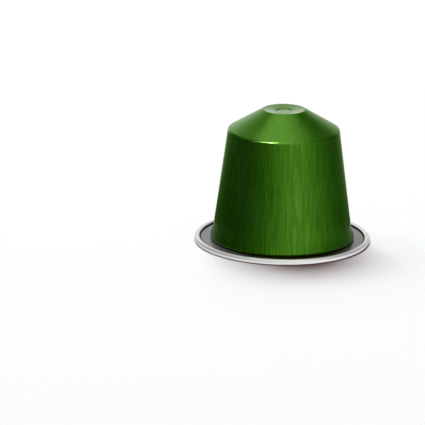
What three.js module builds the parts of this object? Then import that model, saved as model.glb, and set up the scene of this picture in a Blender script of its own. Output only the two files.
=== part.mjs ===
// A coffee pod for a capsule machine: a drawn aluminium cup with a domed end, a sealing ring, a foil lid.
// It stands on its rolled rim with the dome up. Z is its axis, and the floor is at z = 0. Millimetres.

import * as THREE from 'three';

// Body of the cup, from the flange up to the dome
const overallHeight = 28.62; // to the crown's edge, before that edge is rounded
const footRadius = 14.6; // where the straight wall starts, above the foot bead
const shoulderRadius = 11.76; // where the wall and the dome would meet in a sharp edge
const shoulderFillet = 0.8;
const domeRise = 4.32; // from the shoulder up to the crown
const crownRadius = 4.5; // ring at the top of the dome, round the dish
const crownFillet = 0.35;
const dishDrop = 0.35; // the dish slopes down from the crown to the step round its disc
const stepRadius = 1.95;
const discDrop = 0.18; // the disc that the machine pierces lies a small step lower
const discRadius = 1.7;
const stepFillet = 0.08;

// Foot bead: the wall flares out above the flange and tucks in under itself
const beadStand = 0.7; // from the foot of the wall out to the bead's two slopes
const beadRise = 0.75; // from the flange up to the widest line of the bead
const beadFlare = 1.65; // from that line up to the straight wall
const beadTuck = 0.35; // from that line in to the flange
const beadFillet = 1.6;
const flareFillet = 2;

// Flange and rolled rim: the sheet dips off the flange, then turns outward, up and back in
const sheet = 0.18;
const flangeWidth = 3.6; // from the body to the outside of the roll
const rollRadius = 0.57; // outside of the roll's round section
const rollMouth = 0.35; // from the flange up to the sheet's edge, where the roll ends
const restLand = 0.3; // flat width, pressed into the crest of the roll, that the pod stands on
const bendInside = 0.06; // inside radius of the bend that leads from the flange into the roll

// Foil lid, sealed to the underside of the flange
const lidRecess = 0.3; // from the floor up to the lid's seal
const foil = 0.07;
const lidGap = 0.31; // from the lid's edge to the roll
const swell = 0.17; // the gas inside pushes the foil out by this much
const puckerCount = 22;
const puckerDepth = 0.09;
const puckerReach = 4; // from the cup's mouth inward
const puckerDrift = [[2, 0.9], [5, 0.5]]; // waves round the lid, and the radians each shifts the puckers by
const puckerFade = [3, 0.4]; // waves round the lid, and the share of its depth that a pucker loses

// Sealing ring, seated on top of the flange between the foot bead and the roll
const ringHeight = 0.08;
const ringEdge = 0.03; // rounding of its two top edges
const ringInnerGap = 0.4;
const ringOuterGap = 0.06;

// How finely the round shapes are cut
const roundFacets = 72;
const lidFacetsPerPucker = 4;
const lidBands = 5;
const chordError = 0.012; // the most that an arc in a section bulges past its straight facets
const samePoint = 1e-4;

// Heights and radii that follow from them
const flangeUnder = lidRecess + foil;
const flangeTop = flangeUnder + sheet;
const beadRadius = footRadius + beadStand;
const seatRadius = beadRadius - beadTuck;
const rimRadius = seatRadius + flangeWidth;

// Points of an arc round a centre, between two angles counted from the outward direction
function arc(centre, radius, from, to) {
  const step = 2 * Math.acos(1 - chordError / radius);
  const count = Math.max(1, Math.ceil(Math.abs(to - from) / step));
  return Array.from({ length: count + 1 }, (_, i) => {
    const angle = from + ((to - from) * i) / count;
    return new THREE.Vector2(Math.cos(angle), Math.sin(angle)).multiplyScalar(radius).add(centre);
  });
}

// A corner rounded by an arc that is tangent to both of its sides, and never longer than half a side
function roundedCorner(before, corner, after, fillet) {
  const back = before.clone().sub(corner);
  const ahead = after.clone().sub(corner);
  const half = back.angleTo(ahead) / 2;
  const reach = Math.min(fillet / Math.tan(half), back.length() / 2, ahead.length() / 2);
  const turn = Math.sign(ahead.cross(back)) * (Math.PI - 2 * half);
  const start = back.clone().setLength(reach).add(corner);
  const between = back.normalize().add(ahead.normalize());
  const centre = between.setLength(reach / Math.cos(half)).add(corner);
  const from = start.clone().sub(centre).angle();
  return arc(centre, start.distanceTo(centre), from, from + turn);
}

// An outline through corners given as radius, height and, where the corner is rounded, its fillet
function outline(corners) {
  const points = corners.map(([radius, height]) => new THREE.Vector2(radius, height));
  return corners.flatMap(([, , fillet], i) =>
    fillet ? roundedCorner(points[i - 1], points[i], points[i + 1], fillet) : [points[i]],
  );
}

// A solid turned round Z from a section that runs up its outside
function turned(section, facets) {
  const points = section.filter((point, i) => i === 0 || point.distanceTo(section[i - 1]) > samePoint);
  return new THREE.LatheGeometry(points, facets).rotateX(Math.PI / 2);
}

// The sheet from the flange's underside round the outside of the roll, and back along its inside
function rimSection() {
  const middleOfRoll = rollRadius - sheet / 2;
  const middleOfBend = bendInside + sheet / 2;
  const rollHeight = Math.sqrt(rollRadius ** 2 - (restLand / 2) ** 2);
  const rollCentre = new THREE.Vector2(rimRadius - rollRadius, rollHeight);
  const bendHeight = flangeUnder - bendInside;
  const drop = rollHeight - bendHeight;
  const apart = Math.sqrt((middleOfRoll + middleOfBend) ** 2 - drop ** 2);
  const bendCentre = new THREE.Vector2(rollCentre.x - apart, bendHeight);

  const level = Math.PI / 2;
  const meeting = rollCentre.clone().sub(bendCentre).angle();
  const rollStart = meeting + Math.PI;
  const crest = (3 * Math.PI) / 2;
  const halfLand = Math.asin(restLand / 2 / rollRadius);
  const edgeRise = flangeTop + rollMouth - rollHeight;
  const rollEnd = 3 * Math.PI - Math.asin(edgeRise / rollRadius);

  return [
    ...arc(bendCentre, bendInside, level, meeting),
    ...arc(rollCentre, rollRadius, rollStart, crest - halfLand),
    ...arc(rollCentre, rollRadius, crest + halfLand, rollEnd),
    ...arc(rollCentre, rollRadius - sheet, rollEnd, rollStart),
    ...arc(bendCentre, bendInside + sheet, meeting, level),
  ];
}

// The body from the flange up over the foot bead, the wall and the dome, and down into the dish
function bodySection() {
  const beadHeight = flangeTop + beadRise;
  const shoulderHeight = overallHeight - domeRise;
  const stepHeight = overallHeight - dishDrop;
  const discHeight = stepHeight - discDrop;
  return outline([
    [seatRadius, flangeTop],
    [beadRadius, beadHeight, beadFillet],
    [footRadius, beadHeight + beadFlare, flareFillet],
    [shoulderRadius, shoulderHeight, shoulderFillet],
    [crownRadius, overallHeight, crownFillet],
    [stepRadius, stepHeight, stepFillet],
    [discRadius, discHeight, stepFillet],
    [0, discHeight],
  ]);
}

// The cup is drawn from one sheet and packed full, so it is one solid up to the open roll of its rim
function cup() {
  const underside = new THREE.Vector2(0, flangeUnder);
  return turned([underside, ...rimSection(), ...bodySection()], roundFacets);
}

// How far the foil hangs below its seal: a swell, and puckers that come and go round the mouth
function foilDrop(radius, angle) {
  const inward = THREE.MathUtils.clamp((seatRadius - radius) / puckerReach, 0, 1);
  const drift = puckerDrift.reduce((sum, [waves, shift]) => sum + shift * Math.sin(waves * angle), 0);
  const wave = (1 + Math.sin(puckerCount * angle + drift)) / 2;
  const [fadeWaves, fadeShare] = puckerFade;
  const fade = 1 - (fadeShare * (1 + Math.sin(fadeWaves * angle))) / 2;
  const pucker = puckerDepth * wave * fade * Math.sin(Math.PI * inward);
  return swell * THREE.MathUtils.smoothstep(inward, 0, 1) + pucker;
}

// A foil of even thickness, flat where it is sealed and hanging by its drop inside the mouth
function foilLid() {
  const lidRadius = rimRadius - 2 * rollRadius - lidGap;
  const band = (i) => seatRadius - puckerReach * (1 - i / lidBands);
  const radii = [0, ...Array.from({ length: lidBands + 1 }, (_, i) => band(i)), lidRadius];
  const face = (height) => radii.map((radius) => new THREE.Vector2(radius, height));
  const facets = puckerCount * lidFacetsPerPucker;
  const lid = turned([...face(lidRecess), ...face(flangeUnder).reverse()], facets);
  const position = lid.attributes.position;
  for (let i = 0; i < position.count; i += 1) {
    const [x, y, z] = [position.getX(i), position.getY(i), position.getZ(i)];
    position.setZ(i, z - foilDrop(Math.hypot(x, y), Math.atan2(y, x)));
  }
  return lid;
}

function sealingRing() {
  const inner = seatRadius + ringInnerGap;
  const outer = rimRadius - 2 * rollRadius - ringOuterGap;
  const top = flangeTop + ringHeight;
  const section = outline([
    [inner, flangeTop],
    [outer, flangeTop],
    [outer, top, ringEdge],
    [inner, top, ringEdge],
    [inner, flangeTop],
  ]);
  return turned(section, roundFacets);
}

const greenLacquer = new THREE.MeshStandardMaterial({ color: 0x3b7014, roughness: 0.35, metalness: 0.85 });
const silverFoil = new THREE.MeshStandardMaterial({ color: 0xc9c8c7, roughness: 0.4, metalness: 0.9 });
const greySeal = new THREE.MeshStandardMaterial({ color: 0x8c8a8a, roughness: 0.7, metalness: 0 });

function piece(name, geometry, material) {
  const mesh = new THREE.Mesh(geometry, material);
  mesh.name = name;
  return mesh;
}

const pod = new THREE.Group();
pod.add(piece('cup', cup(), greenLacquer));
pod.add(piece('foil_lid', foilLid(), silverFoil));
pod.add(piece('sealing_ring', sealingRing(), greySeal));

export default pod;
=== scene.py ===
# %% [markdown]
# A coffee pod stands on its rolled rim with its dome up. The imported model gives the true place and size
# of its three solids: the drawn cup, the foil lid under its flange and the sealing ring on top of it.
# Here each gets the finer surface that a close view needs: smooth drawn curves, thin creases in the foil,
# and the finishes. Everything is in metres, with the axis on Z and the floor at zero, as in the packed
# model.

import bpy
import numpy as np
from mathutils import Matrix, Vector


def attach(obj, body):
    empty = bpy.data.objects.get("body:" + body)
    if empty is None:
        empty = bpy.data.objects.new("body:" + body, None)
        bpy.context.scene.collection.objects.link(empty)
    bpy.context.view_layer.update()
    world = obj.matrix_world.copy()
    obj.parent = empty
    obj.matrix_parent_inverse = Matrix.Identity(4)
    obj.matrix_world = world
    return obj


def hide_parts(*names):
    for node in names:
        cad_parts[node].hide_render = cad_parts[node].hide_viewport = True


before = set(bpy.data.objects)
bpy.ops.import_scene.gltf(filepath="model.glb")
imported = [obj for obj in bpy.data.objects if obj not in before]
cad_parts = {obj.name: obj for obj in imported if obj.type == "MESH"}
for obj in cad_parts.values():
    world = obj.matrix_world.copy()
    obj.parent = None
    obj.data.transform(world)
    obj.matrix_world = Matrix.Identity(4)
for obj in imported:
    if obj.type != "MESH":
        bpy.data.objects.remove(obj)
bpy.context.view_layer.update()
MM = 0.001
TURN = 2 * np.pi


def in_mm(lengths):
    return [round(length / MM, 2) for length in lengths]


# %% [markdown]
# The camera comes first, because every later choice is judged through it. A long lens looks down on the
# pod by about seventeen degrees from 70 cm away, and the pod stands right of the middle of the picture.
# So the camera first looks straight at the foot of the axis, then turns and rolls a little until that
# point lies where the picture has it. This is surer than shifting the lens, because the pod keeps its
# true perspective.

# %% Where the camera stands and looks
PICTURE = 425  # pixels along each side
FOCAL_PIXELS = 3298.6
DISTANCE = 0.700
ELEVATION = np.radians(16.56)
ROLL = np.radians(0.65)
FOOT_PIXEL = np.array([282.4, 238.5])  # where the picture has the foot of the axis


def unit(vector):
    return vector / np.linalg.norm(vector)


def camera_axes():
    """Right, up and forward: look at the origin, turn by the foot's offset in the picture, then roll."""
    place = DISTANCE * np.array([0, -np.cos(ELEVATION), np.sin(ELEVATION)])
    ahead = -place / DISTANCE
    side = np.array([1.0, 0.0, 0.0])
    offset = (FOOT_PIXEL - PICTURE / 2) / FOCAL_PIXELS
    forward = unit(ahead - side * offset[0] + np.cross(side, ahead) * offset[1])
    level = unit(np.cross(forward, [0, 0, 1]))
    upright = np.cross(level, forward)
    right = np.cos(ROLL) * level + np.sin(ROLL) * upright
    up = np.cos(ROLL) * upright - np.sin(ROLL) * level
    return right, up, forward, place


right, up, forward, place = camera_axes()
print("camera stands at", in_mm(place), "mm")

# %% [markdown]
# Blender's camera looks down its own -Z. So the columns of its matrix are the directions right, up and
# backward, and then its place. It could be turned by three angles instead, but the matrix takes the
# directions as they are.

# %% The camera
SENSOR = 36.0  # mm

lens = bpy.data.cameras.new("camera")
lens.lens = FOCAL_PIXELS / PICTURE * SENSOR
lens.sensor_width = SENSOR
camera = bpy.data.objects.new("camera", lens)
columns = np.array([right, up, -forward, place])
camera.matrix_world = Matrix([*columns.T, [0, 0, 0, 1]])
bpy.context.scene.collection.objects.link(camera)
bpy.context.scene.camera = camera
print("lens", round(lens.lens, 1), "mm")

# %% [markdown]
# Almost every form on the pod is turned: a section carried once round the axis. A corner of the section
# is rounded by an arc that is tangent to both sides, as the drawing tool leaves it. A bevel modifier
# could round the finished mesh too, but with arcs in the section each fillet has its own true radius.

# %% Arcs and rounded corners
ARC_STEP = np.radians(5)


def arc(centre, radius, start, end):
    """Points at centre + radius (cos a, sin a), with a from start to end in equal steps."""
    count = int(np.ceil(abs(end - start) / ARC_STEP)) + 1
    a = np.linspace(start, end, max(2, count))
    return np.array(centre) + radius * np.column_stack([np.cos(a), np.sin(a)])


def rounded(before, corner, after, fillet):
    """An arc tangent to both sides of a corner; its centre is on the bisector at fillet / sin(half angle)."""
    back, ahead = unit(before - corner), unit(after - corner)
    half = np.arccos(np.clip(back @ ahead, -1, 1)) / 2
    centre = corner + unit(back + ahead) * fillet / np.sin(half)
    start = corner + back * fillet / np.tan(half) - centre
    turn = np.sign(ahead[0] * back[1] - ahead[1] * back[0]) * (np.pi - 2 * half)
    angle = np.arctan2(start[1], start[0])
    return arc(centre, fillet, angle, angle + turn)


print("arcs in steps of", round(np.degrees(ARC_STEP)), "degrees")

# %% [markdown]
# A section is a list of such corners. Its straight stretches get more points too, evenly along them and
# one close to each end. A close ring holds the shading of the flat part flat, right up to the curve that
# follows.

# %% Whole sections
RING_SPACING = 0.8 * MM
END_RING = 0.04 * MM
SHORTEST = 4 * END_RING  # shorter stretches, such as the steps of an arc, stay as they are


def outline(corners):
    """Corners given as (radius, height, fillet), each rounded where its fillet isn't zero."""
    points = np.array([corner[:2] for corner in corners])
    parts = []
    for i, (point, (*_, fillet)) in enumerate(zip(points, corners)):
        parts.append(rounded(points[i - 1], point, points[i + 1], fillet) if fillet else point[None])
    return np.concatenate(parts)


def with_rings(section):
    """The same section, with points added on each straight stretch: one near each end, the rest evenly."""
    parts = []
    for start, end in zip(section[:-1], section[1:]):
        length = np.linalg.norm(end - start)
        near = END_RING / length
        inner = []
        if length > SHORTEST:
            inner = np.linspace(near, 1 - near, max(2, int(length / RING_SPACING)))
        shares = np.concatenate([[0], inner])
        parts.append(start + shares[:, None] * (end - start))
    return np.concatenate([*parts, section[-1:]])


print("rings every", *in_mm([RING_SPACING]), "mm")

# %% [markdown]
# Numpy works a whole surface out at once, and Blender takes it as a list of points and a list of faces.
# Shading is smooth except across sharp edges. Each point also remembers where it lies in the metal's
# grain: round the axis, and along the section. The finishes use that to draw brushed lines.

# %% A mesh from points and faces
SHARP = np.radians(40)  # edges that turn by more stay crisp


def surface(name, points, faces, grain):
    """A mesh object at the origin, smooth except across sharp edges, with its grain kept as an attribute."""
    mesh = bpy.data.meshes.new(name)
    mesh.from_pydata(points, [], faces)
    kept = mesh.attributes.new("grain", "FLOAT_VECTOR", "POINT")
    kept.data.foreach_set("vector", np.ascontiguousarray(grain, dtype=np.float32).ravel())
    mesh.shade_smooth()
    mesh.set_sharp_from_angle(angle=SHARP)
    mesh.update()
    piece = bpy.data.objects.new(name, mesh)
    bpy.context.scene.collection.objects.link(piece)
    print(name, len(points), "points", len(faces), "faces")
    return piece


# %% [markdown]
# A turned surface must close on itself. The last column of faces joins the first one, so there is no
# seam, and where a section touches the axis all its points are one vertex. Blender's screw modifier could
# turn the section too, but it would leave a seam to merge, and no grain.

# %% Turning a section into a closed surface
def around(index):
    """Each vertex's next neighbour round the axis."""
    return np.roll(index, -1, axis=-1)


def on_rings(pairs, thirds):
    """One row of three values a vertex: its own pair, and the third value of its ring."""
    thirds = np.broadcast_to(thirds[:, None, None], (*pairs.shape[:2], 1))
    return np.concatenate([pairs, thirds], axis=2).reshape(-1, 3)


def turned(name, section, facets, closed=False):
    """Point (i, j) is section point i turned by j / facets of a turn; a pole is one vertex, with no seam.

    It also keeps, for each vertex, (cos, sin, distance along the section): a grain that has no seam."""
    radius, height = section.T
    along = np.concatenate([[0], np.cumsum(np.linalg.norm(np.diff(section, axis=0), axis=1))])
    angle = np.arange(facets) / facets * TURN
    rings = np.arange(len(section)) if closed else np.arange(1, len(section) - 1)
    circle = np.column_stack([np.cos(angle), np.sin(angle)])
    circles = np.broadcast_to(circle, (len(rings), facets, 2))
    points = on_rings(circles * radius[rings, None, None], height[rings])
    grain = on_rings(circles, along[rings])

    index = np.arange(len(rings) * facets).reshape(len(rings), facets)
    low = index if closed else index[:-1]
    high = np.roll(index, -1, axis=0) if closed else index[1:]
    faces = np.stack([low, around(low), around(high), high], axis=2).reshape(-1, 4).tolist()
    if not closed:
        first, last = len(points), len(points) + 1
        points = np.concatenate([points, [[0, 0, height[0]], [0, 0, height[-1]]]])
        grain = np.concatenate([grain, [[0, 0, along[0]], [0, 0, along[-1]]]])
        faces += np.column_stack([np.full(facets, first), around(index[0]), index[0]]).tolist()
        faces += np.column_stack([np.full(facets, last), index[-1], around(index[-1])]).tolist()
    return surface(name, points, faces, grain)


# %% [markdown]
# The body is one sheet of aluminium, drawn into a tapered wall with a bead at its foot and a flat-sided
# dome on top. The dome ends in a ring with a shallow dish inside it, and a small disc, one step lower,
# that the machine pierces. It could be sculpted, but a turned section gives true curves and even
# reflections. The body is closed at the flange, where nobody looks, so that it is a sound solid by
# itself.

# %% The body
FLANGE_TOP = 0.55 * MM
SEAT_RADIUS = 14.95 * MM
CROWN_HEIGHT = 28.62 * MM
DISC_HEIGHT = 28.09 * MM
BODY_FACETS = 360

body_corners = [
    (0, FLANGE_TOP, 0),
    (SEAT_RADIUS, FLANGE_TOP, 0),
    (15.3 * MM, 1.05 * MM, 0.6 * MM),  # the foot bead, where it is widest
    (14.6 * MM, 2.95 * MM, 7.5 * MM),  # foot of the straight wall
    (11.76 * MM, 24.3 * MM, 0.8 * MM),  # shoulder
    (4.5 * MM, CROWN_HEIGHT, 0.35 * MM),  # crown, the ring round the dish
    (2.02 * MM, 28.27 * MM, 0.65 * MM),  # the dish ends here in a step
    (1.64 * MM, DISC_HEIGHT, 0.60 * MM),  # edge of the disc
    (0, DISC_HEIGHT, 0),
]
cup_body = turned("cup_body", with_rings(outline(body_corners)), BODY_FACETS)

# %% [markdown]
# The rim is the edge of the same sheet. Past the sealing ring it dips off the flange and rolls outward,
# up and back in, until its cut edge nearly meets the flange again. A plain ring would lose the dark slit
# where the roll ends, so the true section is carried round the axis: out along the sheet's lower side,
# back along its upper.

# %% The flange and the rolled rim
RIM_RADIUS = 18.55 * MM
FLANGE_UNDER = 0.37 * MM
FLANGE_INNER = 14.2 * MM  # hidden between the body and the lid
SHEET = 0.18 * MM
ROLL_RADIUS = 0.57 * MM
ROLL_MOUTH = 0.35 * MM
REST_LAND = 0.30 * MM
BEND_INSIDE = 0.06 * MM
RIM_FACETS = 300


def rim_section():
    """The bare side follows two circles that touch, bend and roll; the lacquered side lies one sheet away."""
    roll_height = np.sqrt(ROLL_RADIUS**2 - (REST_LAND / 2) ** 2)
    roll = np.array([RIM_RADIUS - ROLL_RADIUS, roll_height])
    bend_height = FLANGE_UNDER - BEND_INSIDE
    reach = ROLL_RADIUS + BEND_INSIDE
    bend = np.array([roll[0] - np.sqrt(reach**2 - (roll_height - bend_height) ** 2), bend_height])
    meeting = np.arctan2(*(roll - bend)[::-1])
    crest, half_land = 1.5 * np.pi, np.arcsin(REST_LAND / 2 / ROLL_RADIUS)
    end = 3 * np.pi - np.arcsin((FLANGE_TOP + ROLL_MOUTH - roll_height) / ROLL_RADIUS)
    level = np.pi / 2
    bare = np.concatenate([
        [[FLANGE_INNER, FLANGE_UNDER]],
        arc(bend, BEND_INSIDE, level, meeting),
        arc(roll, ROLL_RADIUS, meeting + np.pi, crest - half_land)[1:],
        arc(roll, ROLL_RADIUS, crest + half_land, end),
    ])
    lacquered = np.concatenate([
        arc(roll, ROLL_RADIUS - SHEET, end, meeting + np.pi),
        arc(bend, BEND_INSIDE + SHEET, meeting, level)[1:],
        [[FLANGE_INNER, FLANGE_TOP]],
    ])
    return np.concatenate([bare, lacquered]), len(bare)


rim_outline, lacquered_from = rim_section()
cup_rim = turned("cup_rim", rim_outline, RIM_FACETS, closed=True)

# %% [markdown]
# The sealing ring is a flat band of soft elastomer on the flange. The machine presses on it, so that no
# water passes. Its inner edge hides under the foot bead, and a thin gap parts its outer edge from the
# roll. The upper edges are rounded, and the section is again carried round the axis.

# %% The sealing ring
RING_INNER = 15.05 * MM
RING_OUTER = 17.20 * MM
RING_TOP = 0.63 * MM
RING_EDGE = 0.03 * MM
RING_FACETS = 300

ring_corners = [
    (RING_INNER, FLANGE_TOP, 0),
    (RING_OUTER, FLANGE_TOP, 0),
    (RING_OUTER, RING_TOP, RING_EDGE),
    (RING_INNER, RING_TOP, RING_EDGE),
    (RING_INNER, FLANGE_TOP, 0),
]
sealing_band = turned("sealing_band", outline(ring_corners)[:-1], RING_FACETS, closed=True)

# %% [markdown]
# The lid is foil, sealed flat to the flange and swollen a little by the gas of the coffee. Where it was
# pulled over the mouth it has a ring of uneven puckers, and fine creases run in from them. Cloth
# simulation could make folds, but foil keeps the sharp marks of the sealing head, so each crease is a
# wave in height worked out from radius and angle.

# %% How far the foil hangs below its seal
SWELL = 0.17 * MM
PUCKERS = 22
PUCKER_DEPTH = 0.09 * MM
PUCKER_REACH = 4.0 * MM
PUCKER_DRIFT = ((2, 0.9), (5, 0.5))  # waves round the lid, and the radians each shifts the puckers by
FADE_WAVES, FADE_SHARE = 3, 0.4  # the share of its depth that a pucker loses, and how often round the lid
CREASE_DEPTH = 0.012 * MM
CREASE_WAVES = ((61, 0.4), (97, 2.1), (143, 4.4))  # waves round the lid, and where each starts


def foil_drop(radius, angle):
    """Swell times a smooth step inward, plus pucker waves that fade to nothing at both ends of their reach."""
    inward = np.clip((SEAT_RADIUS - radius) / PUCKER_REACH, 0, 1)
    drift = sum(shift * np.sin(waves * angle) for waves, shift in PUCKER_DRIFT)
    wave = (1 + np.sin(PUCKERS * angle + drift)) / 2
    fade = 1 - FADE_SHARE * (1 + np.sin(FADE_WAVES * angle)) / 2
    band = np.sin(np.pi * inward)
    creases = sum(np.sin(waves * angle + start) for waves, start in CREASE_WAVES)
    smooth = inward * inward * (3 - 2 * inward)
    return SWELL * smooth + PUCKER_DEPTH * wave * fade * band + CREASE_DEPTH * creases * band**2


print("swell and puckers in mm", in_mm([SWELL, PUCKER_DEPTH]))

# %% [markdown]
# The foil is turned as a flat disc first, and then each of its points sinks by that drop. The top face
# sinks with the lower one, so that the foil is equally thick all over.

# %% The foil lid
LID_RADIUS = 17.10 * MM
LID_SEAL = 0.30 * MM
FOIL = 0.07 * MM
LID_FACETS = 528
LID_BANDS = 40
LID_MIDDLE = 1 * MM  # radius of its innermost ring
SEALED_BANDS = 5

free_radii = np.linspace(LID_MIDDLE, SEAT_RADIUS, LID_BANDS)
sealed_radii = np.linspace(SEAT_RADIUS, LID_RADIUS, SEALED_BANDS + 1)[1:]
lid_radii = np.concatenate([[0], free_radii, sealed_radii])
lid_face = np.column_stack([lid_radii, np.full_like(lid_radii, LID_SEAL)])
lid_section = np.concatenate([lid_face, lid_face[::-1] + [0, FOIL]])
foil_skin = turned("foil_skin", lid_section, LID_FACETS)

lid_points = np.array([vertex.co for vertex in foil_skin.data.vertices])
x, y, z = lid_points.T
lid_points[:, 2] = z - foil_drop(np.hypot(x, y), np.arctan2(y, x))
foil_skin.data.vertices.foreach_set("co", lid_points.ravel())
foil_skin.data.update()
print("foil lowest at", round(lid_points[:, 2].min() / MM, 3), "mm")

# %% [markdown]
# Every piece rides on the one body of this row, stands for the solid that it replaces, and names the
# finish that it takes from the record.

# %% What each piece stands for
for piece, node, slot in (
    (cup_body, "cup", "green_lacquer"),
    (cup_rim, "cup", "bare_rim"),
    (sealing_band, "sealing_ring", "grey_seal"),
    (foil_skin, "foil_lid", "silver_foil"),
):
    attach(piece, "root")
    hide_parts(node)
    print(piece.name, "stands for", node)

# %% [markdown]
# Each finish is a small net of nodes. These helpers add a node and wire it in one line, so that the cells
# below read as a recipe.

# %% Helpers for finishes
def socket_name(word):
    """The shader's own name of an input: specular_ior_level is Specular IOR Level."""
    return word.replace("_", " ").title().replace("Ior", "IOR")


class Finish:
    """A material with one Principled shader; add() makes a node, sets its values and wires its inputs."""

    def __init__(self, name, **constants):
        self.material = bpy.data.materials.new(name)
        self.material.use_nodes = True
        self.nodes = self.material.node_tree.nodes
        self.links = self.material.node_tree.links
        self.shader = self.nodes["Principled BSDF"]
        for word, value in constants.items():
            self.shader.inputs[socket_name(word)].default_value = value

    def add(self, kind, wires=None, inputs=None, **settings):
        node = self.nodes.new(f"ShaderNode{kind}")
        for key, value in settings.items():
            setattr(node, key, value)
        for socket, value in (inputs or {}).items():
            node.inputs[socket].default_value = value
        for socket, source in (wires or {}).items():
            self.links.new(source, node.inputs[socket])
        return node

    def wire(self, **sources):
        for word, source in sources.items():
            self.links.new(source, self.shader.inputs[socket_name(word)])

    def place(self):
        return self.add("TexCoord").outputs["Object"]

    def grain(self, round_scale, along_scale):
        """The piece's own grain, stretched: its scale round the axis, and its scale along the section."""
        source = self.add("Attribute", attribute_name="grain")
        scaled = self.add("VectorMath", {0: source.outputs["Vector"]}, operation="MULTIPLY")
        scaled.inputs[1].default_value = (round_scale, round_scale, along_scale)
        return scaled.outputs[0]

    def noise(self, vector, scale=1.0, detail=2.0):
        return self.add("TexNoise", {"Vector": vector}, {"Scale": scale, "Detail": detail}).outputs["Fac"]

    def ramp(self, value, low, high, to_low, to_high):
        ends = {"From Min": low, "From Max": high, "To Min": to_low, "To Max": to_high}
        return self.add("MapRange", {"Value": value}, ends).outputs["Result"]

    def product(self, first, second):
        return self.add("Math", {0: first, 1: second}, operation="MULTIPLY").outputs[0]

    def scaled(self, value, factor):
        return self.add("Math", {0: value}, {1: factor}, operation="MULTIPLY").outputs[0]

    def blend(self, factor, first, second):
        node = self.add("Mix", {"Factor": factor}, data_type="RGBA")
        node.inputs["A"].default_value, node.inputs["B"].default_value = (*first, 1), (*second, 1)
        return node.outputs["Result"]

    def bump(self, height, strength, distance, before=None):
        wires = {"Height": height} if before is None else {"Height": height, "Normal": before}
        return self.add("Bump", wires, {"Strength": strength, "Distance": distance}).outputs["Normal"]

    def on(self, piece):
        piece.data.materials.clear()
        piece.data.materials.append(self.material)
        print(self.material.name, "has", len(self.nodes), "nodes")


# %% [markdown]
# The green is a clear tinted lacquer over bright aluminium. The metal under it was brushed along the axis
# before it was drawn, which leaves fine upright streaks on the wall, while the stretched metal of the
# dome looks finely grained. A picture could carry both, but noise in the metal's own grain stays sharp at
# any zoom.

# %% Brushed metal under the lacquer
WALL_FADE = (23.6 * MM, 24.4 * MM)  # the streaks end between these heights, at the shoulder
STREAK_GRAIN = (150.0, 165.0)  # fine round the axis and long along the wall
STREAK_RANGE = (0.44, 0.56)
SPECKLE_SCALE = 4500.0
SPECKLE_RANGE = (0.25, 0.75)
STREAK_SHARE = 0.72  # how much of the wall's shade comes from streaks, the rest from speckle

lacquer = Finish("green_lacquer", metallic=1.0, coat_roughness=0.12)
place_on_pod = lacquer.place()
height = lacquer.add("SeparateXYZ", {"Vector": place_on_pod}).outputs["Z"]
on_wall = lacquer.ramp(height, *WALL_FADE, 1.0, 0.0)
streaks = lacquer.noise(lacquer.grain(*STREAK_GRAIN), detail=0.0)
wall_streaks = lacquer.ramp(streaks, *STREAK_RANGE, 0.0, 1.0)
speckle = lacquer.ramp(lacquer.noise(place_on_pod, SPECKLE_SCALE, detail=1.0), *SPECKLE_RANGE, 0.0, 1.0)
streak_share = lacquer.scaled(on_wall, STREAK_SHARE)
shade = lacquer.add("Mix", {"Factor": streak_share, "A": speckle, "B": wall_streaks}).outputs["Result"]
print("streaks end at", in_mm(WALL_FADE), "mm")

# %% [markdown]
# Over that grain lies the colour: a metal that mirrors in green, under a thin clear coat that takes some
# white of the room at a low angle. The coat ran together in the dish and is thicker there, so the dish
# looks milky. The grain also lifts the surface a little, which breaks the mirror up as brushing does.

# %% Green lacquer
LACQUER = (0.050, 0.178, 0.005)
LACQUER_LIGHT = (0.124, 0.364, 0.020)
COAT, DISH_COAT = 0.3, 1.0
DISH_START, DISH_FULL = 4.4 * MM, 4.2 * MM  # measured back from the end of the section
LACQUER_ROUGHNESS = (0.27, 0.34)
STREAK_BUMP = (1.0, 0.000036)  # strength and distance
SPECKLE_BUMP = (0.15, 0.00001)

distance = lacquer.add("SeparateXYZ", {"Vector": lacquer.grain(1.0, 1.0)}).outputs["Z"]
section_length = cup_body.data.attributes["grain"].data[-1].vector.z
dish_ends = (section_length - DISH_START, section_length - DISH_FULL)
brushed = lacquer.bump(lacquer.product(streaks, on_wall), *STREAK_BUMP)
lacquer.wire(
    base_color=lacquer.blend(shade, LACQUER, LACQUER_LIGHT),
    coat_weight=lacquer.ramp(distance, *dish_ends, COAT, DISH_COAT),
    roughness=lacquer.ramp(speckle, 0.0, 1.0, *LACQUER_ROUGHNESS),
    normal=lacquer.bump(speckle, *SPECKLE_BUMP, before=brushed),
)
lacquer.on(cup_body)
print("body section is", *in_mm([section_length]), "mm long")

# %% [markdown]
# The flange and the roll are the same sheet, left bare on its inner side. That side turns outward in the roll,
# so the rim is bright, while the lacquered side faces into the roll, whose mouth is a dark slit in shade. The
# bare side was spun against the forming tool, so its faint lines run round the rim.

# %% Bare aluminium of the rim
BARE, BARE_LIGHT = (0.85, 0.845, 0.835), (0.91, 0.905, 0.895)
SPUN_GRAIN = (2.0, 6000.0)  # long round the rim and fine along the section
HANDLING_SCALE = 900.0
MIDDLE_OF_NOISE = (0.3, 0.7)  # noise seldom leaves this range

rim_metal = Finish("bare_rim", metallic=1.0)
spun = rim_metal.noise(rim_metal.grain(*SPUN_GRAIN))
handling = rim_metal.noise(rim_metal.place(), HANDLING_SCALE, detail=3.0)
rim_metal.wire(
    base_color=rim_metal.blend(handling, BARE, BARE_LIGHT),
    roughness=rim_metal.ramp(handling, *MIDDLE_OF_NOISE, 0.30, 0.36),
    normal=rim_metal.bump(spun, 0.05, 0.000002),
)
rim_metal.on(cup_rim)
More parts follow.
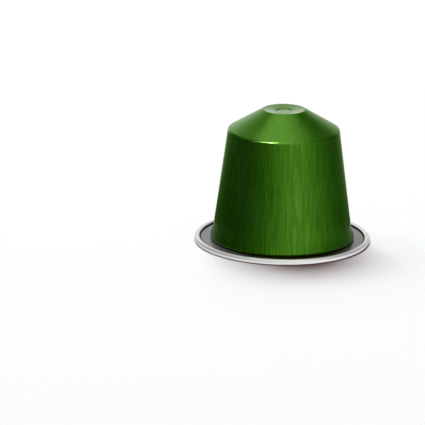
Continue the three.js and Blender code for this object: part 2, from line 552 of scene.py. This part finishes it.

# %% [markdown]
# The mouth of the roll shows as a thin dark line beside the sealing ring, because hardly any light gets in. The
# faces of the rim's section from its cut edge on, in the roll and on the flange, get this second finish: painted
# shade, dull and nearly black, in place of the colour of the lacquer that lies there.

# %% Painted shade inside the roll
# Painted shade: near-black colours that stand in for the shade in the roll's mouth and in the slit beside the
# ring.
PAINTED_SHADE_DARK, PAINTED_SHADE_PALE = (0.012, 0.016, 0.008), (0.03, 0.04, 0.02)
PAINTED_SHADE_GRAIN = (3.0, 2000.0)

roll_painted_shade = Finish("roll_painted_shade", metallic=0.4)
painted_shade_noise = roll_painted_shade.noise(roll_painted_shade.grain(*PAINTED_SHADE_GRAIN))
roll_painted_shade.wire(
    base_color=roll_painted_shade.blend(painted_shade_noise, PAINTED_SHADE_DARK, PAINTED_SHADE_PALE),
    roughness=roll_painted_shade.ramp(painted_shade_noise, *MIDDLE_OF_NOISE, 0.45, 0.6),
)
# The lacquered faces of the roll and the flange get the painted shade instead of their lacquer's colour.
cup_rim.data.materials.append(roll_painted_shade.material)
section_sides = np.arange(len(cup_rim.data.polygons)) // RIM_FACETS
lacquered = section_sides >= lacquered_from
cup_rim.data.polygons.foreach_set("material_index", lacquered.astype(np.int32))
print("lacquered faces", int(lacquered.sum()))

# %% [markdown]
# The sealing ring is dark grey and satin. From above it looks dull, and at a low angle it mirrors what
# stands behind it: the pale room at the sides, and the dark foot of the body in front.

# %% Grey elastomer of the sealing ring
SEAL, SEAL_LIGHT = (0.085, 0.083, 0.083), (0.115, 0.112, 0.112)
SEAL_SCALE = 4000.0

seal_rubber = Finish("grey_seal", metallic=0.0, ior=1.5)
grainy = seal_rubber.noise(seal_rubber.place(), SEAL_SCALE, detail=3.0)
seal_rubber.wire(
    base_color=seal_rubber.blend(grainy, SEAL, SEAL_LIGHT),
    roughness=seal_rubber.ramp(grainy, *MIDDLE_OF_NOISE, 0.18, 0.26),
    normal=seal_rubber.bump(grainy, 0.1, 0.00001),
)
seal_rubber.on(sealing_band)

# %% [markdown]
# The foil is rolled aluminium with a satin face, left plain. Rolling and handling leave it unevenly dull,
# in soft clouds a few millimetres wide, and the sealing head presses a faint grain into it. A picture
# could carry this, but noise in the pod's own space gives it at any zoom, with roughness and a slight
# bump from the same clouds.

# %% Silver foil
SILVER, SILVER_LIGHT = (0.66, 0.66, 0.67), (0.76, 0.76, 0.77)
CLOUD_SCALE = 350.0

foil_finish = Finish("silver_foil", metallic=1.0)
dull = foil_finish.noise(foil_finish.place(), CLOUD_SCALE, detail=5.0)
foil_finish.wire(
    base_color=foil_finish.blend(dull, SILVER, SILVER_LIGHT),
    roughness=foil_finish.ramp(dull, *MIDDLE_OF_NOISE, 0.26, 0.4),
    normal=foil_finish.bump(dull, 0.15, 0.0001),
)
foil_finish.on(foil_skin)

# %% [markdown]
# The pod stands on white paper that runs on past the view, so that nothing cuts the picture behind it.
# The paper is a hair less red than white, because the dim light of the room is warm and would tint it.

# %% Floor
FLOOR_SIZE = 3.0
FLOOR_WHITE = (0.872, 0.935, 0.94)

half = FLOOR_SIZE / 2
corners = [(-half, -half, 0), (half, -half, 0), (half, half, 0), (-half, half, 0)]
floor_mesh = bpy.data.meshes.new("floor")
floor_mesh.from_pydata(corners, [], [(0, 1, 2, 3)])
floor = bpy.data.objects.new("floor", floor_mesh)
bpy.context.scene.collection.objects.link(floor)
white_paper = Finish("white_paper", base_color=(*FLOOR_WHITE, 1), roughness=0.9, specular_ior_level=0.1)
white_paper.on(floor)
print("floor", FLOOR_SIZE, "m across")

# %% [markdown]
# Past the paper the camera and shiny surfaces see a plain white room. What the room sheds on dull
# surfaces is dim and warm instead, which fills the shadow and gives it its brown tone.

# %% Room
ROOM_LIGHT = (0.10, 0.020, 0.018)


def seen_rays(nodes, links):
    """The greatest of three Light Path outputs: 1 for the rays that see the white background."""
    path = nodes.new("ShaderNodeLightPath")
    seen = path.outputs["Is Camera Ray"]
    for ray in ("Is Glossy Ray", "Is Transmission Ray"):
        either = nodes.new("ShaderNodeMath")
        either.operation = "MAXIMUM"
        links.new(seen, either.inputs[0])
        links.new(path.outputs[ray], either.inputs[1])
        seen = either.outputs[0]
    return seen


world = bpy.data.worlds.new("room")
world.use_nodes = True
air, wires = world.node_tree.nodes, world.node_tree.links
white, dim, mix = air["Background"], air.new("ShaderNodeBackground"), air.new("ShaderNodeMixShader")
white.inputs["Color"].default_value = (1, 1, 1, 1)
dim.inputs["Color"].default_value = (*ROOM_LIGHT, 1)
wires.new(seen_rays(air, wires), mix.inputs[0])
wires.new(dim.outputs[0], mix.inputs[1])
wires.new(white.outputs[0], mix.inputs[2])
wires.new(mix.outputs[0], air["World Output"].inputs["Surface"])
bpy.context.scene.world = world
bpy.context.scene.view_settings.view_transform = "Standard"
print("room light", ROOM_LIGHT)

# %% [markdown]
# Two large soft boxes stand high behind the pod and a little to its left, so its shadow falls softly
# forward and to the right. The lower of the two stretches the shadow, and a third and weaker one at the
# left spreads it out to the right of the rim. None of the three shows in the metal.

# %% Soft boxes
POD_MIDDLE = Vector((0, 0, 12 * MM))


def lamp(name, azimuth, elevation, distance, width, height, power, aim=POD_MIDDLE):
    """A soft box that faces its aim; azimuth is counted from the camera's side towards +X."""
    a, e = np.radians(azimuth), np.radians(elevation)
    light = bpy.data.lights.new(name, "AREA")
    light.shape, light.size, light.size_y, light.energy = "RECTANGLE", width, height, power
    box = bpy.data.objects.new(name, light)
    box.location = distance * Vector((np.cos(e) * np.sin(a), -np.cos(e) * np.cos(a), np.sin(e)))
    box.rotation_euler = (aim - box.location).to_track_quat("-Z", "Y").to_euler()
    box.visible_camera, box.visible_glossy = False, False
    bpy.context.scene.collection.objects.link(box)
    return box


lamp("key", azimuth=-165, elevation=58, distance=6.0, width=3.8, height=2.6, power=372)
lamp("low_key", azimuth=-166, elevation=40, distance=6.0, width=5.8, height=3.0, power=122)
lamp("side", azimuth=-114, elevation=42, distance=6.0, width=2.2, height=2.0, power=36)
print("soft boxes", {light.name: light.energy for light in bpy.data.lights})

# %% [markdown]
# A small lamp in front draws the thin light line on the shoulder. It is linked to the body alone, because
# the paper must not get its light. Its beam is narrow, so that it stays near the shoulder.

# %% Glint on the shoulder
SHOULDER_FRONT = Vector((0, -11 * MM, 24 * MM))
GLINT_SPREAD = np.radians(12)
GLINT_COLOUR = (0.95, 0.65, 2.2)

glint = lamp("glint", -34, 52, distance=0.19, width=0.075, height=0.012, power=0.0036, aim=SHOULDER_FRONT)
glint.data.spread = GLINT_SPREAD
glint.data.color = GLINT_COLOUR
glint.visible_glossy = True
glint.light_linking.receiver_collection = bpy.data.collections.new("lit_by_glint")
glint.light_linking.receiver_collection.objects.link(cup_body)
print("glint", round(glint.data.energy, 4), "W")

# %% [markdown]
# Shiny metal only shows what stands round it. In an all-white room the pod would look flat, so paper
# stands round it, as round a bottle in a studio. Only shiny surfaces see it, and only the pieces that a
# card is linked to. The papers run smoothly from light to dark, so their colour is kept as an attribute
# on the card's points. A card glows for rays that have not yet met a dull surface, and so sheds no light
# on the floor.

# %% Hanging a card
HIDDEN_FROM = ("camera", "diffuse", "transmission", "volume_scatter", "shadow")
FIRST_BOUNCE = 0.5  # the diffuse depth is 0 before a dull surface is met, and 1 or more after it


def hang(name, points, faces, colours, seen_by, clear=False):
    """A card that the pieces in seen_by mirror. Others see through a clear one, and see any other as black."""
    mesh = bpy.data.meshes.new(name)
    mesh.from_pydata(points, [], faces.tolist())
    paper = mesh.attributes.new("paper", "FLOAT_VECTOR", "POINT")
    paper.data.foreach_set("vector", colours.astype(np.float32).ravel())
    panel = bpy.data.objects.new(name, mesh)
    bpy.context.scene.collection.objects.link(panel)
    panel.light_linking.receiver_collection = bpy.data.collections.new(f"mirrors_{name}")
    for piece in seen_by:
        panel.light_linking.receiver_collection.objects.link(piece)
    finish = Finish(name)
    colour = finish.add("Attribute", attribute_name="paper").outputs["Vector"]
    bounced = finish.add("LightPath").outputs["Diffuse Depth"]
    direct = finish.add("Math", {0: bounced}, {1: FIRST_BOUNCE}, operation="LESS_THAN").outputs[0]
    shine = finish.add("Emission", {"Color": colour, "Strength": direct}).outputs[0]
    if clear:
        through = finish.add("BsdfTransparent").outputs[0]
        shine = finish.add("AddShader", {0: shine, 1: through}).outputs[0]
    finish.links.new(shine, finish.nodes["Material Output"].inputs["Surface"])
    finish.nodes.remove(finish.shader)
    finish.on(panel)
    for ray in HIDDEN_FROM:
        setattr(panel, f"visible_{ray}", False)


print("cards are hidden from", *HIDDEN_FROM, "rays")

# %% [markdown]
# Where the wall mirrors dark paper it goes deep green, and the pale paper between draws the bright band
# down its front. The body and the bare pieces each get their own set of cards in the same places. The
# body's dark papers are green. The others' are paler and grey, and hang a little further out.

# %% Cards whose paper runs from light to dark
CARD_STEPS = 97  # points round each card
PAPER_TINT = np.array((1.35, 1.0, 1.8))  # powers that make the darker papers greener
RIM_LIFT = 0.3  # how far the papers are paled for the rim
BODY_SHRINK = (0.99, 0.99, 1)  # the body's cards hang a little inside the others
BODY_RAISE = (0, 0, 0.01 * MM)


def card(name, azimuths, section, greys):
    """A section carried round the axis between two azimuths; greys(azimuth, row) is the paper's brightness."""
    azimuth = np.linspace(*azimuths, CARD_STEPS)
    radius, height = np.array(section).T * MM
    a, row = np.meshgrid(np.radians(azimuth), np.arange(len(section)), indexing="ij")
    points = np.stack([np.sin(a) * radius[row], -np.cos(a) * radius[row], height[row]], axis=2).reshape(-1, 3)
    index = np.arange(len(points)).reshape(a.shape)
    faces = np.stack([index[:-1, :-1], index[1:, :-1], index[1:, 1:], index[:-1, 1:]], axis=2).reshape(-1, 4)
    grey = greys(np.degrees(a), row).ravel()[:, None]
    paled = np.repeat(grey + RIM_LIFT * (1 - grey), 3, axis=1)
    hang(f"{name}_for_rim", points, faces, paled, [cup_rim, sealing_band, foil_skin])
    inside = points * BODY_SHRINK + BODY_RAISE
    hang(f"{name}_for_body", inside, faces, grey**PAPER_TINT, [cup_body], clear=True)
    print(name, "grey from", round(float(grey.min()), 2), "to", round(float(grey.max()), 2))


# %% [markdown]
# The wall and the bead at its foot mirror what stands low round them. In front, right of the middle, the
# paper is pale; to both sides it darkens, and far behind it is white again, which lights the outline.

# %% The band of paper for the wall
LOW_PAPER = np.array([  # azimuth and grey
    (-180, 1.00), (-170, 0.90), (-158, 0.45), (-140, 0.13), (-120, 0.08), (-60, 0.05), (-45, 0.08),
    (-30, 0.19), (-16, 0.29), (-2, 0.46), (13, 0.64), (27, 0.76), (42, 0.58), (58, 0.36),
    (75, 0.25), (94, 0.16), (117, 0.11), (140, 0.17), (158, 0.50), (170, 0.90), (180, 1.00),
])


def wall_paper(azimuth):
    return np.interp(azimuth, *LOW_PAPER.T)


print("paper straight in front has grey", round(float(wall_paper(0.0)), 2))

# %% [markdown]
# On the floor a white ring of paper lies close round the rim, so that the roll is bright down to the
# floor. Further out it is the same paper as the band of light.

# %% The card on the floor
FLOOR_CARD_HEIGHT = 0.02  # mm
FLOOR_PAPER = np.array([  # radius in mm, and whiteness
    (18.2, 0.55), (21, 0.70), (25, 0), (60, 0), (120, 0), (199, 0),
])


def floor_greys(azimuth, row):
    """The band of light, blended towards white by each row's whiteness."""
    band = wall_paper(azimuth)
    return band + FLOOR_PAPER[row, 1] * (1.0 - band)


floor_section = [(radius, FLOOR_CARD_HEIGHT) for radius, _ in FLOOR_PAPER]
card("floor_card", (-180, 180), floor_section, floor_greys)

# %% [markdown]
# From the floor up, the cards are parts of one sphere round the pod's top. Above the band of light the
# front is plain white paper, and the top of the roll mirrors it.

# %% The front card
ROOM_RADIUS, ROOM_CENTRE = 200, 26  # mm
FRONT_WHITE = 0.85
FRONT_FULL, FRONT_END = 40, 80  # degrees to either side: white up to the first, gone at the second
FRONT_PAPER = np.array([  # elevation and whiteness
    (-7, 0), (2, 0), (12, 0), (24, 0.4), (38, 1), (55, 1), (74, 1),
])


def round_section(elevations):
    """Points of a sphere round the pod's top at the given elevations in degrees."""
    rise = np.radians(elevations)
    return np.column_stack([ROOM_RADIUS * np.cos(rise), ROOM_CENTRE + ROOM_RADIUS * np.sin(rise)])


def front_greys(azimuth, row):
    """The band of light, blended towards plain white paper in front by each row's whiteness."""
    in_front = np.clip((FRONT_END - np.abs(azimuth)) / (FRONT_END - FRONT_FULL), 0, 1)
    band = wall_paper(azimuth)
    return band + FRONT_PAPER[row, 1] * in_front * (FRONT_WHITE - band)


card("front_card", (-95, 95), round_section(FRONT_PAPER[:, 0]), front_greys)

# %% [markdown]
# The dome leans back, so it mirrors what stands high behind the pod. In the photograph it shows a bright
# middle between two dark lines, the right side darker than the left. Three columns of greys, one straight
# behind and one to each side, give that, and the card runs into the wall's paper low down at its sides.

# %% The high card behind
SIDE_COLUMN = 30  # degrees from straight behind to the left and right columns
SIDE_BLEND = 18  # degrees past them until the wall's paper has its full share
# elevation, grey at the left, in the middle and at the right, and share of the wall's paper further out
HIGH_PAPER = np.array([
    (-7.3, 0.85, 0.80, 0.55, 1.0),
    (2, 0.85, 0.80, 0.55, 1.0),
    (12, 0.85, 0.84, 0.50, 1.0),
    (22, 0.75, 0.84, 0.34, 1.0),
    (32, 0.62, 0.56, 0.20, 0.6),
    (42, 0.50, 0.60, 0.16, 0.2),
    (48, 0.30, 0.66, 0.18, 0.0),
    (54, 0.30, 0.70, 0.24, 0.0),
    (58, 0.60, 0.80, 0.34, 0.0),
    (62, 1.00, 1.00, 0.55, 0.0),
    (70, 1.00, 1.00, 0.80, 0.0),
    (86, 1.00, 1.00, 0.95, 0.0),
])


def high_greys(azimuth, row):
    """In proportion to the angle between the three columns, and past them into the wall's paper by its share."""
    left, middle, right, share = (column[row] for column in HIGH_PAPER.T[1:])
    off = azimuth - 180
    to_left, to_right = np.clip(off / SIDE_COLUMN, 0, 1), np.clip(-off / SIDE_COLUMN, 0, 1)
    behind = middle + to_left * (left - middle) + to_right * (right - middle)
    past = share * np.clip((np.abs(off) - SIDE_COLUMN) / SIDE_BLEND, 0, 1)
    return behind + past * (wall_paper((azimuth + 180) % 360 - 180) - behind)


card("high_card", (95, 265), round_section(HIGH_PAPER[:, 0]), high_greys)
